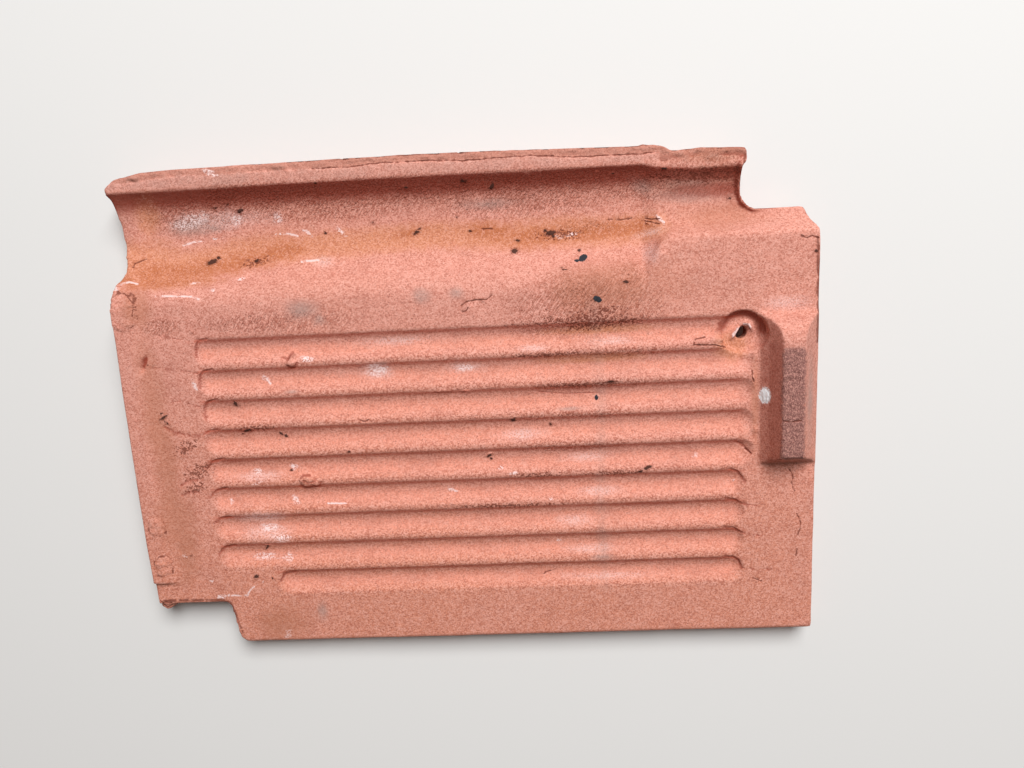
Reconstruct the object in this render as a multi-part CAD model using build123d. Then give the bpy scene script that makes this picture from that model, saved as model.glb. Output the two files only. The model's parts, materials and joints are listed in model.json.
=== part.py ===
from build123d import *

import math
import os

os.makedirs("parts", exist_ok=True)

# An interlocking clay roof tile of the pantile kind, pressed in one piece. It lies with its
# underside up, as it comes off a stack: on the crown of its roll and on the rib of its underlock.
# Sizes are millimetres. While it is drawn, x runs from the tail to the head, y from the underlock
# edge to the lip of the roll, and z = 0 is the flat underside of the pan, with the clay below it.

# Cover and wall
tile_length = 345.5
cover_width = 216.0
wall_thickness = 12.0
edge_round = 2.0

# Underlock on the weather face: rounded rib, water channel and bead
rib_width = 11.0
rib_proud = 3.0
channel_width = 22.5
bead_width = 6.0
bead_proud = 2.6
bead_tail_gap = 13.5
bead_round = 1.5
bead_foot_round = 0.6
channel_round = 1.0
side_clearance = 0.7
seat_clearance = 0.3

# Roll along the body
roll_depth = 18.0
roll_flank_angle = 54.4
roll_shoulder_round = 16.0
roll_hollow_round = 27.0
roll_wall_angle = 42.3
roll_wall_round = 27.0
roll_floor = 3.5
lip_width = 10.2
lip_drop = 8.0

# Roll in the headlap, stepped down so that the next course lies over it
headlap = 76.0
step_before = 6.0
step_after = 11.0
step_stations = [(0.0, 0.0), (0.22, 0.42), (0.42, 0.75), (0.68, 0.93), (1.0, 1.0)]
head_inset = 4.3
head_roll_depth = 12.8
head_flank_angle = 62.0
head_shoulder_round = 4.0
head_hollow_round = 8.0
head_wall_angle = 41.8
head_wall_round = 16.0
head_floor = 8.4
head_lip_width = 9.6

# Weather bar that thickens the tail edge
tail_bar_height = 2.0
tail_bar_top = 7.5
tail_bar_run = 17.0
tail_bar_inset = 36.0
bar_sink = 2.0

# Corner cuts that let four tiles meet
notch_length = 40.5
notch_width = 24.0
notch_lean = 3.5
notch_inner_round = 4.5
notch_outer_round = 8.0
cutaway_length = 35.8
cutaway_width = 34.1
cutaway_lean = 1.8
cutaway_round = 9.0
head_corner_length = 8.0
head_corner_width = 10.8
corner_round = 2.5

# Tail end of the roll, set back from the tail edge of the pan
roll_tail_start = 5.5
roll_tail_setback = 4.2
lip_tail_setback = 1.0
lip_corner_length = 17.0
lip_corner_width = 8.3

# Flutes pressed into the underside
flute_chord = 13.0
flute_depth = 2.7
flute_pitch = 15.46
flute_field = 124.0
flute_inset = 29.2
flute_tail_gap = 38.0
last_flute_tail_gap = 68.0
flute_head_gap = 35.0
flute_nib_gap = 2.0

# Batten nib at the head
nib_foot_from_head = 28.5
nib_height = 15.0
nib_heel_height = 5.0
nib_heel_run = 3.6
nib_face_run = 7.5
nib_top_width = 9.8
nib_head_gap = 0.5
nib_inset = 90.8
nib_top_length = 61.5
nib_end_run = 8.5
nib_ramp_run = 7.0
nib_upper_round = 10.0
nib_heel_round = 3.0
nib_edge_round = 1.2

# Nail recess and hole
nail_from_head = 36.5
nail_inset = 31.9
recess_radius = 11.5
recess_floor_radius = 9.0
recess_depth = 4.5
nail_hole_radius = 3.0
bed_margin = 8.0

past = 10.0

tile_width = cover_width + rib_width + channel_width - side_clearance
weather_face = -wall_thickness
rib_face = weather_face - rib_proud
rib_round = 0.42 * rib_width
channel_face = -(lip_drop - seat_clearance)
step_start = tile_length - headlap - step_before
step_end = tile_length - headlap + step_after


def half_turn(angle):
    """Tangent of half a corner's turn, which gives the length that a round takes off each side."""
    return math.tan(math.radians(angle) / 2)


class RollSection:
    """Corners and rounds of the roll at one place along the tile, in y and z."""

    def __init__(self, edge, depth, flank_angle, shoulder, hollow, wall_angle, wall_round, floor, lip):
        self.depth = depth
        self.edge = edge
        self.flank_turn = half_turn(flank_angle)
        self.wall_turn = half_turn(wall_angle)
        flank = depth / math.sin(math.radians(flank_angle))
        wall = (depth - lip_drop) / math.sin(math.radians(wall_angle))
        self.flank_reach = 0.96 * flank / self.flank_turn
        self.shoulder = min(shoulder, 0.6 * self.flank_reach)
        self.hollow = min(hollow, self.flank_reach - self.shoulder)
        self.wall_round = min(wall_round, 0.8 * wall / self.wall_turn)
        self.inner_shoulder = max(edge_round, self.shoulder - wall_thickness)
        self.crown = min(self.hollow + wall_thickness, self.flank_reach - self.inner_shoulder)
        self.lip_inner = edge - lip
        self.wall_foot = self.lip_inner - (depth - lip_drop) / math.tan(math.radians(wall_angle))
        bends = self.wall_round * self.wall_turn + self.hollow * self.flank_turn
        self.flank_foot = self.wall_foot - bends - floor
        self.pan_end = self.flank_foot - depth / math.tan(math.radians(flank_angle))
        self.wall_slope = math.tan(math.radians(wall_angle))
        self.wall_lean = wall_thickness / math.cos(math.radians(wall_angle))

    def hollow_corners(self, lift=0.0):
        """Underside corners from the pan to the foot of the roll's wall, raised by lift."""
        return [
            (self.pan_end, lift),
            (self.flank_foot, -self.depth + lift),
            (self.wall_foot, -self.depth + lift),
        ]

    def hollow_rounds(self):
        return [self.shoulder, self.hollow, self.wall_round]

    def outer_foot(self):
        """Height where the weather face of the wall meets the lip's outer face."""
        wall_line = -lip_drop - self.wall_lean + self.wall_slope * (self.edge - self.lip_inner)
        return min(wall_line, -lip_drop - 2 * edge_round - 1)

    def weather_corners(self):
        """Weather-face corners from the lip back to the pan, one wall away from the underside."""
        offset_flank = wall_thickness * self.flank_turn
        offset_wall = wall_thickness * self.wall_turn
        crown = -self.depth - wall_thickness
        return [
            (self.wall_foot + offset_wall, crown),
            (self.flank_foot - offset_flank, crown),
            (self.pan_end - offset_flank, weather_face),
        ]

    def weather_rounds(self):
        return [self.wall_round + wall_thickness, self.crown, self.inner_shoulder]


BODY_SIZES = (
    tile_width, roll_depth, roll_flank_angle, roll_shoulder_round, roll_hollow_round,
    roll_wall_angle, roll_wall_round, roll_floor, lip_width,
)
HEAD_SIZES = (
    tile_width - head_inset, head_roll_depth, head_flank_angle, head_shoulder_round,
    head_hollow_round, head_wall_angle, head_wall_round, head_floor, head_lip_width,
)


def roll_between(share):
    """Roll's section where the step from the body to the headlap is that share complete."""
    return RollSection(*[a + (b - a) * share for a, b in zip(BODY_SIZES, HEAD_SIZES)])


body_roll = roll_between(0.0)
head_roll = roll_between(1.0)
pan_end = body_roll.pan_end


def tile_section(roll, x):
    """Whole cross-section at x: underside from the underlock edge to the lip, then back."""
    channel_end = rib_width + channel_width
    bead_end = channel_end + bead_width
    bead_face = weather_face - bead_proud
    corners = [(0, 0)] + roll.hollow_corners()
    rounds = [edge_round] + roll.hollow_rounds()
    corners += [(roll.lip_inner, -lip_drop), (roll.edge, -lip_drop), (roll.edge, roll.outer_foot())]
    rounds += [edge_round, edge_round, edge_round]
    corners += roll.weather_corners()
    rounds += roll.weather_rounds()
    corners += [
        (bead_end, weather_face),
        (bead_end - bead_round / 2, bead_face),
        (channel_end, bead_face),
        (channel_end, channel_face),
        (rib_width, channel_face),
        (rib_width, rib_face),
        (0, rib_face),
    ]
    rounds += [bead_foot_round, bead_round, bead_round, channel_round, channel_round, rib_round, rib_round]
    outline = FilletPolyline(*corners, radius=rounds, close=True)
    return Plane.YZ.offset(x) * make_face(outline)


def section_run(roll, x_start, x_end):
    return extrude(tile_section(roll, x_start), x_end - x_start)


def headlap_step():
    """Run over which the roll changes from its body section to its headlap section."""
    stations = []
    for along, share in step_stations:
        x = step_start + (step_end - step_start) * along
        stations.append(tile_section(roll_between(share), x))
    return loft(stations, ruled=True)


def bar_section(x, lift):
    """Strip along the underside for the weather bar, its top raised by lift over the clay."""
    end_y = body_roll.lip_inner - edge_round / 2
    end_z = -lip_drop - edge_round / 2
    top = [(tail_bar_inset, lift)] + body_roll.hollow_corners(lift) + [(end_y, end_z)]
    low = [(tail_bar_inset, -bar_sink)] + body_roll.hollow_corners(-bar_sink) + [(end_y, end_z - bar_sink)]
    rounds = [0] + body_roll.hollow_rounds() + [0]
    outline = FilletPolyline(*top, *reversed(low), radius=rounds + rounds[::-1], close=True)
    return Plane.YZ.offset(x) * make_face(outline)


def tail_bar():
    """Weather bar: level over its top, then falling until it dips under the clay's surface."""
    dip = tail_bar_height / 7
    level = extrude(bar_section(0, tail_bar_height), tail_bar_top)
    fall = loft([bar_section(tail_bar_top, tail_bar_height), bar_section(tail_bar_run, -dip)], ruled=True)
    return level + fall


def plan_cut(corners, rounds):
    """Upright cut through the whole tile, drawn in plan."""
    outline = FilletPolyline(*corners, radius=rounds, close=True)
    low = -roll_depth - wall_thickness - past
    face = Plane.XY.offset(low) * make_face(outline)
    return extrude(face, nib_height + 2 * past - low)


def tail_notch():
    foot = notch_length + notch_lean
    flare = foot + 1.6 * notch_outer_round
    corners = [
        (-past, notch_width),
        (notch_length, notch_width),
        (foot, 0),
        (flare, -notch_outer_round / 5),
        (flare, -past),
        (-past, -past),
    ]
    return plan_cut(corners, [0, notch_inner_round, notch_outer_round, 0, 0, 0])


def head_cutaway():
    cut_x = tile_length - cutaway_length
    cut_y = tile_width - cutaway_width
    slope = head_corner_width / head_corner_length
    corners = [
        (cut_x + cutaway_lean, tile_width + past),
        (cut_x, cut_y),
        (tile_length - head_corner_length, cut_y),
        (tile_length + past, cut_y - head_corner_width - slope * past),
        (tile_length + past, tile_width + past),
    ]
    return plan_cut(corners, [0, cutaway_round, corner_round, 0, 0])


def roll_tail():
    """What the set-back tail end of the roll and the rounded corner of its lip take away."""
    start = pan_end + roll_tail_start
    corner_y = tile_width - lip_corner_width
    corners = [
        (-past, start),
        (0, start),
        (roll_tail_setback, start + 1.4 * roll_tail_setback),
        (lip_tail_setback, corner_y - lip_corner_width),
        (lip_tail_setback, corner_y),
        (lip_corner_length / 3, tile_width - lip_corner_width / 3),
        (lip_corner_length, tile_width),
        (lip_corner_length, tile_width + past),
        (-past, tile_width + past),
    ]
    soft = lip_corner_width / 3
    return plan_cut(corners, [0, soft, soft, soft, soft, soft, 0, 0, 0])


def flute(x_start, x_end, y):
    """Round-ended bar whose low side presses one flute into the underside."""
    radius = (flute_chord ** 2 / 4 + flute_depth ** 2) / (2 * flute_depth)
    inset = radius - flute_chord / 2
    length = x_end - x_start + 2 * inset
    shape = SlotOverall(length, 2 * radius) & Pos(0, radius) * Rectangle(length, 2 * radius)
    bar = revolve(shape, Axis.X)
    return Pos((x_start + x_end) / 2, y, radius - flute_depth) * bar


def flutes():
    count = int(flute_field // flute_pitch) + 1
    nib_face = tile_length - nib_foot_from_head
    first_y = pan_end - flute_inset
    nail_x = tile_length - nail_from_head
    nib_low = pan_end - nib_inset - nib_end_run
    bars = []
    for index in range(count):
        y = first_y - index * flute_pitch
        start = last_flute_tail_gap if index == count - 1 else flute_tail_gap
        beside_nib = y - flute_chord / 2 > nib_low
        end = nib_face - flute_nib_gap if beside_nib else tile_length - flute_head_gap
        if index == 0:
            end = nail_x
        bars.append(flute(start, end, y))
    return bars


def batten_nib():
    """Nib that hooks over the batten: a two-slope face, a flat top and sloping ends."""
    foot = tile_length - nib_foot_from_head
    top = foot + nib_face_run
    sunk = -wall_thickness / 10
    across = [
        (foot, sunk),
        (foot, 0),
        (foot + nib_heel_run, nib_heel_height),
        (top, nib_height),
        (top + nib_top_width, nib_height),
        (tile_length - nib_head_gap, 0),
        (tile_length - nib_head_gap, sunk),
    ]
    low = pan_end - nib_inset
    high = low + nib_top_length
    along = [
        (low - nib_end_run, sunk),
        (low - nib_end_run, 0),
        (low, nib_height),
        (high, nib_height),
        (high + nib_ramp_run, 0),
        (high + nib_ramp_run, sunk),
    ]
    across_rounds = [0, 0, nib_heel_round, nib_edge_round, nib_edge_round, 0, 0]
    along_rounds = [0, 0, nib_edge_round, nib_upper_round, 0, 0]
    across_face = make_face(FilletPolyline(*across, radius=across_rounds, close=True))
    along_face = make_face(FilletPolyline(*along, radius=along_rounds, close=True))
    return extrude(Plane.XZ * across_face, -tile_width) & extrude(Plane.YZ * along_face, tile_length)


def nail_recess():
    dish = Cone(recess_floor_radius, recess_radius, recess_depth)
    above = Cylinder(recess_radius, nib_height)
    hole = Cylinder(nail_hole_radius, 3 * wall_thickness)
    tool = Pos(0, 0, -recess_depth / 2) * dish + Pos(0, 0, nib_height / 2) * above + hole
    return Pos(tile_length - nail_from_head, pan_end - nail_inset, 0) * tool


def bead_stop():
    """Box that ends the bead short of the tail."""
    start = rib_width + channel_width
    box = Box(bead_tail_gap + past, bead_width + 1, bead_proud + 1)
    middle_x = (bead_tail_gap - past) / 2
    middle_z = weather_face - (bead_proud + 1) / 2
    return Pos(middle_x, start + bead_width / 2, middle_z) * box


def clay_tile():
    body = section_run(body_roll, 0, step_start) + headlap_step()
    body += section_run(head_roll, step_end, tile_length)
    body += tail_bar()
    body -= tail_notch()
    body -= head_cutaway()
    body -= roll_tail()
    body -= bead_stop()
    body += batten_nib()
    body -= nail_recess()
    for bar in flutes():
        body -= bar
    return body


# The tile rests on two lines: the crown of the roll and the rounded rib of the underlock.
crown_y = body_roll.flank_foot + (body_roll.crown - wall_thickness) * body_roll.flank_turn
crown_z = body_roll.crown - roll_depth - wall_thickness
rib_y = rib_round
rib_z = rib_face + rib_round
reach = math.hypot(crown_y - rib_y, crown_z - rib_z)
lean = math.asin((body_roll.crown - rib_round) / reach)
rest_tilt = math.degrees(lean - math.atan2(crown_z - rib_z, crown_y - rib_y))

tilted = Rot(rest_tilt, 0, 0) * clay_tile()
tilted_box = tilted.bounding_box()
floor_shift = Vector(-tilted_box.center().X, -tilted_box.center().Y, -tilted_box.min.Z)
tile = Pos(floor_shift) * tilted


def laid(x, y, z):
    """Place of a drawn point once the tile lies on the floor."""
    place = Vector(x, y, z).rotate(Axis.X, rest_tilt) + floor_shift
    return [round(value / 1000, 6) for value in (place.X, place.Y, place.Z)]


export_step(tile, "parts/clay_tile.step")
nib_foot = tile_length - nib_foot_from_head
nib_middle = pan_end - nib_inset + nib_top_length / 2
nib_face_x = nib_foot + (nib_heel_run + nib_face_run) / 2
nail_x = tile_length - nail_from_head
wall_middle = -(recess_depth + wall_thickness) / 2
bed_y = (pan_end - nail_inset + recess_radius + pan_end - bed_margin) / 2
print("rest tilt in degrees", round(rest_tilt, 4))
print("nail hole", laid(nail_x, pan_end - nail_inset, wall_middle))
print("nib face", laid(nib_face_x, nib_middle, (nib_heel_height + nib_height) / 2))
print("batten bed", laid(nail_x, bed_y, 0))
print("side channel", laid(tile_length / 2, rib_width + channel_width / 2, channel_face))
print("roll lip", laid(tile_length / 2, tile_width - lip_width / 2, -lip_drop))
print("headlap bed", laid(tile_length - headlap / 2, pan_end / 2, weather_face))
print("size", tile.bounding_box().size, "volume in cubic cm", round(tile.volume / 1000, 1))
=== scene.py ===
# %% [markdown]
# # A clay roof tile, underside up
# The real tile is one slab of wet clay, pressed between two moulds, dried and fired. This lesson
# keeps it one mesh. It could be dressed with a bump map alone, but scars, torn edges and cracks
# catch light and break the outline, so they are made in the mesh, and only grain finer than a
# millimetre is left to the material.

import json
import math

import bmesh
import bpy
import numpy as np
from mathutils import Matrix, Vector, noise


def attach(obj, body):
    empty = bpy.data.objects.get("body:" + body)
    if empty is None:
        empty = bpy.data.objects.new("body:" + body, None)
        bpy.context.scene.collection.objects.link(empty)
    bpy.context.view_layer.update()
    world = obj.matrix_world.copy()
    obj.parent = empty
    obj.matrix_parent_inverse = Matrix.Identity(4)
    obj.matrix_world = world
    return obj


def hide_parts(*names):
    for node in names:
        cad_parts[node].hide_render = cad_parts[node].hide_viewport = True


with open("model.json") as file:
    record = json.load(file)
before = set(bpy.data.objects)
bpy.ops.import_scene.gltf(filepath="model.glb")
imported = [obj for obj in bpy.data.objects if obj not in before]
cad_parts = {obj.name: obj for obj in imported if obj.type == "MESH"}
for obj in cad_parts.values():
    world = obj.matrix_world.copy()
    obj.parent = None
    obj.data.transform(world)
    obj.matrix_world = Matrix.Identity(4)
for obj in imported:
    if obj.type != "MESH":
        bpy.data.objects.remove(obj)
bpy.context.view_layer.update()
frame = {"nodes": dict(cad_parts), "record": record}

# %% [markdown]
# ## Working flat, in millimetres
# The tile was drawn level: x runs from its tail to its head, y from the underlock edge to the lip
# of the roll, and z = 0 is the flat underside. It was then laid on the floor, so it leans a
# little. Marks are easier to place on a level tile, so everything here is made level and laid
# down at the end. The nail hole's mount is known in both places, and it gives the way across.

# %% From the level tile to the floor
MM = 0.001
NAIL_HOLE = Vector((309.0, 155.85, -8.25))
nail = next(m for m in frame["record"]["mounts"] if m["name"] == "nail_hole")
tilt = math.atan2(nail["axis"][1], -nail["axis"][2])
turn = Matrix.Rotation(tilt, 3, "X")
shift = Vector(nail["pos_m"]) - turn @ NAIL_HOLE * MM
to_floor = Matrix.Translation(shift) @ turn.to_4x4() @ Matrix.Scale(MM, 4)
print("the tile leans", round(math.degrees(tilt), 2), "degrees")

# %% [markdown]
# ## Camera
# The picture is taken from over the tile, a little to the head's side, looking almost straight
# down. Place and turns are given on the level tile, like everything else. They could be set by
# eye, but they were solved from the tile's own straight edges and its evenly spaced flutes.

# %% Camera
CAMERA_PLACE = Vector((215.2, 208.3, 373.5))
CAMERA_TURNS = (11.1165, -2.3068, 2.9122)
CAMERA_LENS = 27.07
SENSOR_WIDTH = 36.0
NEAREST_SEEN = 0.01
camera_data = bpy.data.cameras.new("camera")
camera_data.lens = CAMERA_LENS
camera_data.sensor_width = SENSOR_WIDTH
camera_data.clip_start = NEAREST_SEEN
camera = bpy.data.objects.new("camera", camera_data)
bpy.context.scene.collection.objects.link(camera)
look = Matrix.Identity(3)
for angle, axis in zip(CAMERA_TURNS, "XYZ"):
    look = look @ Matrix.Rotation(math.radians(angle), 3, axis)
camera_turn = (turn @ look.transposed()).to_4x4()
camera.matrix_world = Matrix.Translation(to_floor @ CAMERA_PLACE) @ camera_turn
bpy.context.scene.camera = camera
print("camera at", tuple(round(v, 3) for v in camera.location))

# %% [markdown]
# ## Floor and light
# Relief shows by its shading, so the light has to come from one side. One broad soft lamp stands
# in for the bright part of the sky, beyond the roll, and a dim even world keeps the shaded walls
# readable. A stronger world would be softer, but it would wash the flutes out. The world is a
# little warm, because the photograph's shaded walls are redder than its lit clay. Seen from the
# side, the camera looks past the floor's end. There a Light Path node shows it a pale backdrop,
# which gives no light of its own.

# %% Floor
FLOOR_SIZE = 8.0
PALE_GREY = (0.72, 0.72, 0.71, 1)
FLOOR_ROUGHNESS = 0.9
scene = bpy.context.scene
scene.view_settings.view_transform = "Standard"
bpy.ops.mesh.primitive_plane_add(size=FLOOR_SIZE)
floor = bpy.context.object
floor.name = "floor"
paper = bpy.data.materials.new("pale_floor")
paper.use_nodes = True
paper_shader = paper.node_tree.nodes["Principled BSDF"]
paper_shader.inputs["Base Color"].default_value = PALE_GREY
paper_shader.inputs["Roughness"].default_value = FLOOR_ROUGHNESS
floor.data.materials.append(paper)
print("floor", FLOOR_SIZE, "m square")

# %% Light
LAMP_PLACE = Vector((0.45, 1.25, 1.75))
LAMP_SIZE = 1.2
LAMP_POWER = 66.0
WORLD_STRENGTH = 0.12
WORLD_WARMTH = (1.0, 0.8, 0.7, 1)
lamp_data = bpy.data.lights.new("soft_sky", "AREA")
lamp_data.size = LAMP_SIZE
lamp_data.energy = LAMP_POWER
lamp = bpy.data.objects.new("soft_sky", lamp_data)
scene.collection.objects.link(lamp)
lamp.location = LAMP_PLACE
lamp.rotation_euler = (-LAMP_PLACE).to_track_quat("-Z", "Y").to_euler()
world = bpy.data.worlds.new("even_world")
world.use_nodes = True
sky = world.node_tree
sky.nodes["Background"].inputs["Color"].default_value = WORLD_WARMTH
sky.nodes["Background"].inputs["Strength"].default_value = WORLD_STRENGTH
scene.world = world
print("lamp", LAMP_SIZE, "m wide,", round(LAMP_PLACE.length, 2), "m away")

# %% What the camera sees past the floor
BACKDROP_GREY = (0.86, 0.86, 0.85, 1)
backdrop = sky.nodes.new("ShaderNodeBackground")
backdrop.inputs["Color"].default_value = BACKDROP_GREY
by_ray = sky.nodes.new("ShaderNodeMixShader")
ray_kind = sky.nodes.new("ShaderNodeLightPath")
sky.links.new(ray_kind.outputs["Is Camera Ray"], by_ray.inputs[0])
sky.links.new(sky.nodes["Background"].outputs[0], by_ray.inputs[1])
sky.links.new(backdrop.outputs[0], by_ray.inputs[2])
sky.links.new(by_ray.outputs[0], sky.nodes["World Output"].inputs["Surface"])
print("world nodes", len(sky.nodes))

# %% [markdown]
# ## Tools for marks
# Every mark on the tile is one of two shapes seen from above: an oval, or a band along a line.
# Each is a field: 1 at its middle, 0 at its border and below 0 outside. Adding noise to a field
# before it is cut off at 0 gives a border as ragged as a real scar's, which no clean outline
# would have. The same fields raise the clay here and stain it later, so the two agree.
#
# Marks were measured on the photograph as if they all lay on the pan's plane. The trough is 18 mm
# deeper, so the camera saw its marks shifted by up to 8 mm. Each corner is therefore moved along
# its line of sight to that plane before a mark's field is read.

# %% Noise and soft steps
def ripple(points, size, seed=0.0, flatten=1.0):
    """Noise from about -1 to 1 at each point, with features of that size in millimetres."""
    stretched = points / (size, size * flatten, size) + seed
    return np.array([noise.noise(place) for place in stretched.tolist()]) * 1.6


def smooth(low, high, value):
    """0 up to low, 1 from high on, and an even S between them."""
    share = np.clip((value - low) / (high - low), 0, 1)
    return share * share * (3 - 2 * share)


print("soft step at a quarter", round(float(smooth(0, 1, 0.25)), 3))


# %% Ovals, bands and boxes
def oval(points, x, y, length, width, angle=0.0):
    """Field of an oval: its middle, its length and width, and the turn of its length in degrees."""
    c, s = math.cos(math.radians(angle)), math.sin(math.radians(angle))
    along = ((points[:, 0] - x) * c + (points[:, 1] - y) * s) * 2 / length
    across = ((points[:, 1] - y) * c - (points[:, 0] - x) * s) * 2 / width
    return 1 - np.hypot(along, across)


def band(points, route, width):
    """Field of a band of that width along a route of places."""
    nearest = np.full(len(points), 1e9)
    for (x0, y0), (x1, y1) in zip(route, route[1:]):
        run = np.array((x1 - x0, y1 - y0))
        gap = points[:, :2] - (x0, y0)
        share = np.clip(gap @ run / (run @ run), 0, 1)
        nearest = np.minimum(nearest, np.hypot(*(gap - share[:, None] * run).T))
    return 1 - nearest * 2 / width


def box(points, x0, x1, y0, y1):
    """Field of a box: distance in millimetres from its nearest side, positive inside."""
    x, y = points[:, 0], points[:, 1]
    return np.minimum(np.minimum(x - x0, x1 - x), np.minimum(y - y0, y1 - y))


print("an oval's middle and border", oval(np.array([[0.0, 0, 0], [2.0, 0, 0]]), 0, 0, 4, 1))


# %% Line of sight
def as_seen(points):
    """Where the camera's line of sight through each point meets the level plane z = 0."""
    middle = np.array((*CAMERA_PLACE.xy, 0))
    reach = CAMERA_PLACE.z / (CAMERA_PLACE.z - points[:, 2:])
    return (middle + (points - middle) * reach) * (1, 1, 0) + points * (0, 0, 1)


print("the nail hole is seen at", as_seen(np.array([NAIL_HOLE])).round(1)[0])

# %% [markdown]
# ## A copy of the pressed shape
# The CAD node stays as it is. Its triangles are loose, each with corners of its own, so the copy's
# doubles are merged before anything else: otherwise the first push would pull it apart.

# %% Copy
cad_node = frame["nodes"]["clay_tile"]
pressed = cad_node.data.copy()
pressed.transform(to_floor.inverted())
lump = bmesh.new()
lump.from_mesh(pressed)
bmesh.ops.remove_doubles(lump, verts=lump.verts, dist=0.01)
print("corners", len(lump.verts), "open edges", sum(not e.is_manifold for e in lump.edges))

# %% [markdown]
# ## Scraps of clay
# Where the nail punch and the mould's edge tore the wet clay, scraps and burrs stuck to it. They
# could be pushed up from the surface, but a push can't overhang. So each is a ball, stretched,
# bent by noise and sunk halfway into the tile, and the next step fuses them all into one skin.

# %% Scraps
SCRAPS = {
    "flake across the nail hole": ((306.4, 156.2, -3.7), (8.0, 2.2, 3.0), 55),
    "flake at the hole's rim": ((313.6, 158.6, -3.7), (5.2, 2.0, 3.2), -62),
    "flake above the hole": ((310.9, 160.6, -3.9), (5.0, 1.9, 2.8), 8),
    "scrap beside the recess": ((295.0, 152.9, -0.9), (13.5, 2.8, 2.4), 2),
    "scrap's end": ((289.4, 152.3, -0.3), (3.6, 3.0, 1.9), 30),
    "lump over a flute": ((89.8, 89.3, -0.5), (11.0, 6.0, 3.4), -6),
    "small lump over a flute": ((86.9, 151.0, -0.4), (5.4, 3.4, 3.4), 12),
    "thread beside that lump": ((87.6, 154.4, -0.4), (6.0, 1.6, 1.8), 55),
    "curled flake on the roll": ((272.4, 211.3, -12.4), (6.0, 1.9, 3.2), -50),
    "flake's foot": ((268.0, 210.6, -14.6), (7.0, 2.0, 2.2), -12),
    "crumb by the nib": ((313.9, 134.6, 0.0), (1.9, 4.4, 1.9), 14),
    "second crumb by the nib": ((314.8, 107.8, 0.0), (2.4, 2.8, 1.8), 40),
    "third crumb by the nib": ((313.6, 101.4, 0.0), (1.5, 2.2, 1.4), 70),
    "torn tip at the notch": ((5.0, 23.0, -4.0), (11.0, 6.5, 7.0), 12),
    "scrap on the lip": ((15.8, 246.2, -7.6), (5.4, 2.4, 2.4), -8),
    "second scrap on the lip": ((87.8, 246.6, -7.7), (7.5, 2.2, 2.0), 4),
}
for seed, (middle, size, angle) in enumerate(SCRAPS.values()):
    ball = bmesh.ops.create_icosphere(lump, subdivisions=3, radius=0.5)["verts"]
    for vert in ball:
        vert.co *= 1 + 0.5 * noise.noise(vert.co * 3.5 + Vector((seed, 0, 0)))
    spot = Matrix.Translation(middle) @ Matrix.Rotation(math.radians(angle), 4, "Z")
    bmesh.ops.transform(lump, verts=ball, matrix=spot @ Matrix.Diagonal((*size, 1)))
print("scraps", len(SCRAPS))

# %% [markdown]
# ## One skin
# A CAD mesh has long thin triangles and nothing in the middle of its flats, so there is nothing
# to sculpt. Voxel remesh reads the solid as a grid of small cells and wraps them again in even
# faces, which also fuses the scraps. Its cells are just under a millimetre: half that would be
# finer than the photograph shows, and four times as heavy.

# %% Voxel remesh
VOXEL = 0.9
shape = bpy.data.meshes.new("clay_tile_skin")
lump.to_mesh(shape)
lump.free()
tile = bpy.data.objects.new("pressed_clay", shape)
scene.collection.objects.link(tile)


def finish_modifier(kind, **settings):
    """Adds one modifier to the tile, applies it and prints what is left."""
    modifier = tile.modifiers.new(kind.lower(), kind)
    for name, value in settings.items():
        setattr(modifier, name, value)
    seen = tile.evaluated_get(bpy.context.evaluated_depsgraph_get())
    old, tile.data = tile.data, bpy.data.meshes.new_from_object(seen)
    tile.modifiers.clear()
    bpy.data.meshes.remove(old)
    corner_count, face_count = len(tile.data.vertices), len(tile.data.polygons)
    print(kind.lower(), "left", corner_count, "corners and", face_count, "faces")


finish_modifier("REMESH", mode="VOXEL", voxel_size=VOXEL)


# %% Reading and writing corners
def as_array(source, name):
    """Reads three numbers for each corner into an array."""
    values = np.empty(len(source) * 3, np.float32)
    source.foreach_get(name, values)
    return values.reshape(-1, 3).astype(float)


def corner_places():
    return as_array(tile.data.vertices, "co")


def corner_normals():
    return as_array(tile.data.vertex_normals, "vector")


def move_corners(places):
    tile.data.vertices.foreach_set("co", places.astype(np.float32).ravel())
    tile.data.update()


print("corners to shape", len(corner_places()))

# %% [markdown]
# ## Soft edges
# Wet clay leaves its mould with soft edges and a wavering outline, and the drying warps it. The
# walls of the outline are found by their normals. They are pushed in by noise, never out, so the
# tile keeps its size. The end of the lip and the chamfer bulge a little, as clay does where the
# wire that cut it was slack. Then the corners near the rims are smoothed, and so is the step in
# the roll, which the mould left softer than the drawing. Most calls of smooth() below say between
# which two places, in level millimetres, an effect fades in.

# %% Outline
LIP_EDGE = 248.8
LIP_TRIM = ((0, 1.4), (16, 1.5), (34, 0.7), (90, 0.3), (115, 0), (175, 0.1), (197, 0.6), (243, 1.6),
            (262, 2.1), (272, 1.2), (281, 0.6), (291, 0), (309, 1.0))
TAIL_TRIM = ((20, 2.0), (40, 1.4), (60, 0.7), (90, 0.2), (140, 0), (165, 0.2), (176, 0))
DEEPEST_PUSH = 0.9

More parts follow.
